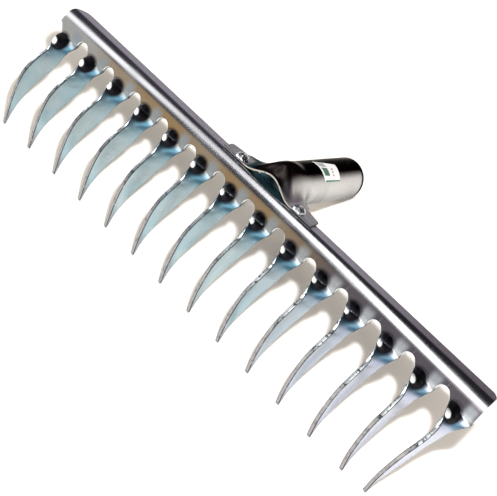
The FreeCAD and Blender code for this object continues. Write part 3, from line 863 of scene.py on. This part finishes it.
def plate_tone(net, x, drop, side, cloud):
    """Painted reflections on the plate: tan, purple-grey at the right, zinc at the left, paler beside
    each bump.
    """
    drift = net.times(net.noise(11.0, 1.0, 0.5), 0.06)
    tan = net.mix(net.step(cloud, 0.3, 0.7), *TAN_REFLECTION)
    tone = net.mix(net.step(net.plus(x, drift), 0.03, 0.13), tan, PURPLE_GREY_REFLECTION)
    tone = net.mix(net.step(x, -0.11, -0.17), tone, LEFT_ZINC_REFLECTION)
    beside = net.times(net.band(side, (1.0, 6.0), (13.0, 8.0)), net.step(drop, -12.0, -5.0))
    return net.mix(beside, tone, net.mix(net.step(x, 0.0, 0.10), *CHEEK_REFLECTIONS))


def plate_material():
    """Bright zinc on the pressed head's faces: bluish teeth, tan plate and dark bumps painted as
    reflections.
    """
    material, net, shader = new_material("bright_zinc")
    drop = net.mark("drop")
    bump = net.mark("bump")
    x = along_bar(net)
    cloud = net.noise(38.0, 2.0, 0.55)
    plate = plate_tone(net, x, drop, net.mark("side"), cloud)
    colour = net.mix(net.step(drop, -0.5, 4.0), plate, blade_tone(net, x, drop, cloud))
    colour = net.mix(net.step(drop, -9.8, -12.0), colour, RIDGE_ZINC)
    # Painted reflection of the bump in teal, in a band just below each bump.
    under = net.band(drop, (2.5, 4.5), (11.0, 6.5))
    colour = net.mix(net.times(under, 0.8), colour, TEAL_BUMP_REFLECTION)
    # Painted dark reflection: each bump near black.
    colour = net.mix(net.step(bump, 1.35, 0.75), colour, BUMP_DARK_REFLECTION)
    # Painted highlight: a white spot on each bump.
    colour = net.mix(net.step(net.mark("glint"), 2.1, 1.3), colour, PAINTED_HIGHLIGHT)
    rough = net.plus(net.span(cloud, 0.3, 0.7, 0.12, 0.20),
                     net.times(net.band(drop, (-5.0, 0.0), (16.0, 9.0)), 0.16))
    rough = net.plus(rough, net.times(net.step(drop, 0.0, 6.0), 0.10))
    rough = net.plus(rough, net.times(net.step(bump, 1.1, 0.8), 0.15))
    grain = net.noise(1300.0, 2.0, 0.6)
    sparkle = net.band(x, (-0.09, -0.05), (0.11, 0.07))
    fine = net.times(grain, net.plus(0.10, net.times(sparkle, 0.55)))
    height = net.plus(fine, net.times(net.noise(45.0, 1.0, 0.4), 0.12))
    finish_material(net, shader, colour, rough, net.bump(height, 0.12, 0.0006))
    return material


def edge_material():
    """Sheared edges: bright with dark smears near the roots, darker at the left as painted shade, grey
    at the tips.
    """
    material, net, shader = new_material("cut_edge")
    fleck = net.noise(420.0, 3.0, 0.7)
    # Painted shade: the cut edges darker towards the left end of the bar.
    left_shaded_edge_tone = net.mix(net.step(along_bar(net), -0.04, 0.08), (0.30, 0.33, 0.35), (0.68, 0.72, 0.74))
    torn = net.mix(net.step(fleck, 0.51, 0.59), left_shaded_edge_tone, (0.07, 0.08, 0.09))
    worn = net.mix(net.step(fleck, 0.50, 0.66), (0.34, 0.34, 0.36), (0.22, 0.22, 0.24))
    colour = net.mix(net.step(net.mark("drop"), 22.0, 48.0), torn, worn)
    rough = net.span(fleck, 0.3, 0.7, 0.25, 0.45)
    finish_material(net, shader, colour, rough, net.bump(fleck, 0.25, 0.0003))
    return material


def edge_shade_and_highlight_material():
    """Painted shade as a dark line along both sides of every cut edge; painted highlight round the
    gaps' crowns.
    """
    material, net, shader = new_material("painted_edge_shade_and_highlight")
    fleck = net.noise(300.0, 2.0, 0.6)
    # Painted shade: the dark line along the edges.
    dark = net.mix(net.step(fleck, 0.55, 0.72), (0.035, 0.04, 0.045), (0.30, 0.32, 0.34))
    # Painted highlight: light round the crowns of the gaps.
    colour = net.mix(net.step(net.mark("drop"), 0.0, -3.0), dark, (0.85, 0.86, 0.86))
    finish_material(net, shader, colour, net.span(fleck, 0.3, 0.7, 0.35, 0.55), metallic=0.6)
    return material


def socket_material():
    """Zinc, grey below; painted reflections: brownish black on top of neck and tube, blue-green at the
    neck's left; near black at the tube's end.
    """
    material, net, shader = new_material("socket_zinc")
    back = net.mark("drop")
    side = net.mark("side")
    cloud = net.noise(30.0, 3.0, 0.55)
    colour = net.mix(net.step(cloud, 0.3, 0.7), (0.68, 0.69, 0.70), (0.80, 0.80, 0.81))
    not_ear = net.math("MAXIMUM", net.step(back, 14.0, 22.0), net.step(net.size(side), 22.0, 16.0))
    # Painted dark reflection: brownish black on top of neck and tube, not on the ears.
    crown = net.times(net.band(side, (13.0, 5.0), (-28.0, -16.0)), not_ear)
    colour = net.mix(crown, colour, (0.035, 0.028, 0.027))
    # Painted reflection: blue-green on the neck's left.
    neck_left_reflection = net.times(net.step(side, -11.0, -19.0), net.step(back, 62.0, 44.0))
    colour = net.mix(net.times(neck_left_reflection, not_ear), colour, (0.10, 0.16, 0.18))
    colour = net.mix(net.step(back, TUBE_END - 5.0, TUBE_END - 2.0), colour, (0.02, 0.018, 0.018))
    relief = net.bump(net.noise(700.0, 2.0, 0.6), 0.06, 0.0004)
    finish_material(net, shader, colour, net.span(cloud, 0.3, 0.7, 0.22, 0.34), relief)
    shader.inputs["Specular Tint"].default_value = (0.25, 0.25, 0.25, 1)
    return material


def socket_inside_material():
    """The unpolished inside of the socket, painted dark blue-green as shade."""
    material, net, shader = new_material("socket_inside_shade")
    cloud = net.noise(60.0, 3.0, 0.55)
    # Painted shade: the inside much darker than the outside zinc.
    colour = net.mix(net.step(cloud, 0.3, 0.7), (0.05, 0.13, 0.17), (0.09, 0.22, 0.27))
    finish_material(net, shader, colour, net.span(cloud, 0.3, 0.7, 0.35, 0.5), metallic=0.8)
    return material


def rim_material():
    """Cut edges of the socket: a warm line round the arch and the rim, duller along the ears."""
    material, net, shader = new_material("socket_edge")
    fleck = net.noise(350.0, 3.0, 0.7)
    ear = net.step(net.size(net.mark("side")), 19.0, 25.0)
    warm = net.mix(net.step(fleck, 0.55, 0.7), (0.56, 0.51, 0.44), (0.16, 0.14, 0.12))
    colour = net.mix(ear, warm, (0.22, 0.20, 0.21))
    rough = net.span(fleck, 0.3, 0.7, 0.38, 0.5)
    finish_material(net, shader, colour, rough, net.bump(fleck, 0.2, 0.0003), metallic=0.7)
    return material


def rivet_material():
    """Hammered rivet heads: bright facets among dark ones."""
    material, net, shader = new_material("rivet_zinc")
    dents = net.noise(520.0, 2.0, 0.6)
    colour = net.mix(net.step(dents, 0.4, 0.6), (0.30, 0.34, 0.36), (0.85, 0.88, 0.88))
    rough = net.span(dents, 0.3, 0.7, 0.14, 0.24)
    finish_material(net, shader, colour, rough, net.bump(dents, 1.0, 0.0008))
    return material


def between(net, source, low, high):
    """1 between low and high and 0 outside, with hard edges."""
    return net.times(net.math("GREATER_THAN", source, low), net.math("LESS_THAN", source, high))


# Left, right, top and bottom of each printed block, as shares of the label, and its ink.
DARK_TICK = (0.03, 0.03, 0.03)
LABEL_BLOCKS = (
    (0.06, 0.42, 0.04, 0.30, (0.28, 0.33, 0.30)),
    (0.10, 0.40, 0.36, 0.74, (0.02, 0.10, 0.06)),
    (0.06, 1.00, 0.93, 1.00, (0.01, 0.16, 0.08)),
    (0.62, 0.70, 0.34, 0.42, DARK_TICK),
    (0.60, 0.67, 0.50, 0.58, DARK_TICK),
    (0.60, 0.66, 0.66, 0.74, DARK_TICK),
)


def label_material():
    """Printed film: pale ground, green blocks and a few plain dark ticks."""
    material, net, shader = new_material("label_print")
    across = net.mark("across")
    down = net.mark("down")
    cloud = net.noise(250.0, 2.0, 0.5)
    colour = net.mix(net.step(cloud, 0.3, 0.7), (0.80, 0.72, 0.68), (0.88, 0.84, 0.80))
    for left, right, top, bottom, ink in LABEL_BLOCKS:
        block = net.times(between(net, across, left, right), between(net, down, top, bottom))
        colour = net.mix(block, colour, ink)
    finish_material(net, shader, colour, 0.32, net.bump(cloud, 0.05, 0.0003), metallic=0.0)
    shader.inputs["Specular IOR Level"].default_value = 0.5
    return material


def floor_material():
    """The pale matt floor."""
    material, net, shader = new_material("studio_floor")
    finish_material(net, shader, (0.93, 0.85, 0.75, 1), 0.9, metallic=0.0)
    shader.inputs["Specular IOR Level"].default_value = 0.1
    return material


# ---------------------------------------------------------------- stage

FLOOR_REACH = 6.0


def make_floor():
    """A plain square floor at the height that the head rests on."""
    mesh = bpy.data.meshes.new("floor")
    reach = FLOOR_REACH
    mesh.from_pydata([(-reach, -reach, 0), (reach, -reach, 0), (reach, reach, 0), (-reach, reach, 0)],
                     [], [(0, 1, 2, 3)])
    mesh.materials.append(floor_material())
    floor = bpy.data.objects.new("floor", mesh)
    bpy.context.scene.collection.objects.link(floor)


# The camera's place and its right and down directions, in the head frame.
CAMERA_LENS = 72.43
CAMERA_PLACE = (206.0, -570.4, 126.1)
CAMERA_RIGHT = (0.683, 0.380, 0.624)
CAMERA_DOWN = (0.665, 0.032, -0.747)


def make_camera():
    """The camera at the photograph's viewing angle."""
    camera = bpy.data.cameras.new("camera")
    camera.sensor_width = 36.0
    camera.lens = CAMERA_LENS
    camera.clip_start = 0.01
    obj = bpy.data.objects.new("camera", camera)
    bpy.context.scene.collection.objects.link(obj)
    right = direction(*CAMERA_RIGHT).normalized()
    forward = right.cross(-direction(*CAMERA_DOWN)).normalized() * -1
    up = right.cross(forward).normalized()
    turn = Matrix((right, up, -forward)).transposed()
    obj.matrix_world = Matrix.Translation(to_row(*CAMERA_PLACE)) @ turn.to_4x4()
    bpy.context.scene.camera = obj


def make_light(name, place, aim, width, power, colour):
    """A square area light in the row frame, aimed at a point."""
    light = bpy.data.lights.new(name, "AREA")
    light.shape = "SQUARE"
    light.size = width
    light.energy = power
    light.color = colour
    obj = bpy.data.objects.new(name, light)
    bpy.context.scene.collection.objects.link(obj)
    obj.location = place
    obj.rotation_mode = "QUATERNION"
    obj.rotation_quaternion = (Vector(aim) - Vector(place)).to_track_quat("-Z", "Y")
    return obj


def even_out(light):
    """Keeps the light equally strong at every distance, so the floor stays plain."""
    light.use_nodes = True
    net = Net(light.node_tree)
    falloff = net.node("ShaderNodeLightFalloff")
    falloff.inputs["Strength"].default_value = 1.0
    glow = net.node("ShaderNodeEmission")
    net.tree.links.new(falloff.outputs["Constant"], glow.inputs["Strength"])
    out = net.node("ShaderNodeOutputLight")
    net.tree.links.new(glow.outputs[0], out.inputs["Surface"])


# The arched soft box that the ridge mirrors: its middle and flat part in x, then degrees over the head.
BOX_X = -0.33
BOX_FLAT = 0.077
BOX_CURVE = 200.0
BOX_RISE = 45.0
BOX_HEIGHT = 84.0


def soft_box(net, x, height):
    """1 inside the arched soft box and 0 outside, with a softer edge to the left."""
    off_middle = net.size(net.minus(x, BOX_X))
    arch = net.times(net.math("MAXIMUM", net.minus(off_middle, BOX_FLAT), 0.0), BOX_CURVE)
    middle = net.plus(net.math("MINIMUM", arch, BOX_RISE), BOX_HEIGHT)
    away = net.size(net.minus(height, middle))
    half = net.plus(net.span(x, -0.30, -0.15, 17.0, 23.0), net.span(x, -0.42, -0.55, 0.0, 3.0))
    softness = net.span(x, -0.55, -0.10, 11.0, 3.0)
    share = net.math("DIVIDE", net.minus(away, net.minus(half, softness)), net.times(softness, 2.0))
    return net.minus(1.0, net.step(share, 0.0, 1.0))


def soft_box_glow(net, x):
    """The soft box is strongest at the right and weakest over the middle of the head."""
    dip = net.minus(1.0, net.step(net.size(net.plus(x, 0.38)), 0.0, 0.11))
    return net.minus(net.span(x, -0.36, -0.20, 1.6, 2.6), net.times(dip, 0.95))


# What the metal mirrors besides the soft box, and the plain colour that the camera sees.
ROOM = ((0.045, 0.042, 0.050), (0.018, 0.016, 0.020))
FRONT_WALL = ((0.50, 0.50, 0.50), (0.50, 0.48, 0.44), (0.36, 0.37, 0.39))
BACK_WALL = ((0.40, 0.37, 0.42), (0.18, 0.15, 0.17))
BOX_WHITE = (1.0, 1.0, 0.99)
BACKDROP = (0.86, 0.82, 0.77)


def make_world():
    """A dim studio: a soft box overhead, pale walls low behind and in front; the camera sees it plain.

    height is the angle over the head in degrees, from 0 at the back to 180 in front.
    """
    world = bpy.data.worlds.new("studio")
    bpy.context.scene.world = world
    world.use_nodes = True
    net = Net(world.node_tree)
    split = net.node("ShaderNodeSeparateXYZ")
    net.tree.links.new(net.node("ShaderNodeTexCoord").outputs["Generated"], split.inputs[0])
    x = split.outputs["X"]
    height = net.math("ARCTAN2", split.outputs["Z"], split.outputs["Y"])
    height = net.times(height, 180 / math.pi)

    room = net.mix(net.step(x, -0.30, -0.15), *ROOM)
    front = net.mix(net.step(x, -0.58, -0.42), *FRONT_WALL[:2])
    front = net.mix(net.step(x, -0.34, -0.16), front, FRONT_WALL[2])
    colour = net.mix(net.step(height, 128.0, 152.0), room, front)
    back = net.mix(net.step(x, -0.22, -0.08), *BACK_WALL)
    colour = net.mix(net.band(height, (1.0, 6.0), (40.0, 15.0)), colour, back)
    box_light = net.node("ShaderNodeVectorMath", operation="SCALE")
    box_light.inputs[0].default_value = BOX_WHITE
    net.feed(box_light.inputs["Scale"], soft_box_glow(net, x))
    colour = net.mix(soft_box(net, x, height), colour, box_light.outputs[0])
    seen = net.node("ShaderNodeLightPath").outputs["Is Camera Ray"]
    colour = net.mix(seen, colour, BACKDROP)
    backdrop = net.node("ShaderNodeBackground")
    net.feed(backdrop.inputs["Color"], colour)
    out = net.node("ShaderNodeOutputWorld")
    net.tree.links.new(backdrop.outputs[0], out.inputs["Surface"])


# ---------------------------------------------------------------- the scene

make_camera()
make_world()
make_floor()

# A small lamp just above the camera throws the shadows; the metal doesn't mirror it.
key = make_light("key", place=(0.19, -0.29, 0.61), aim=(0, 0.02, 0), width=0.035, power=11.0,
                 colour=(0.92, 0.98, 1.08))
key.visible_glossy = False
even_out(key.data)

# A lamp at the left that only shows mirrored in the metal.
glint = make_light("glint", place=(-0.95, -0.16, 0.34), aim=(0, 0, 0.05), width=0.34, power=7.0,
                   colour=(0.96, 0.98, 1.0))
glint.visible_diffuse = False

edge_shading = edge_shade_and_highlight_material()
make_rake_head(plate_material(), edge_material(), edge_shading)
make_socket(socket_material(), rim_material(), edge_shading, socket_inside_material())
rivets = rivet_material()
make_rivet("hammered_rivet_left", -1, rivets, "rivet_left")
make_rivet("hammered_rivet_right", 1, rivets, "rivet_right")
make_label(label_material())

scene = bpy.context.scene
scene.view_settings.view_transform = "Standard"
scene.view_settings.look = "None"
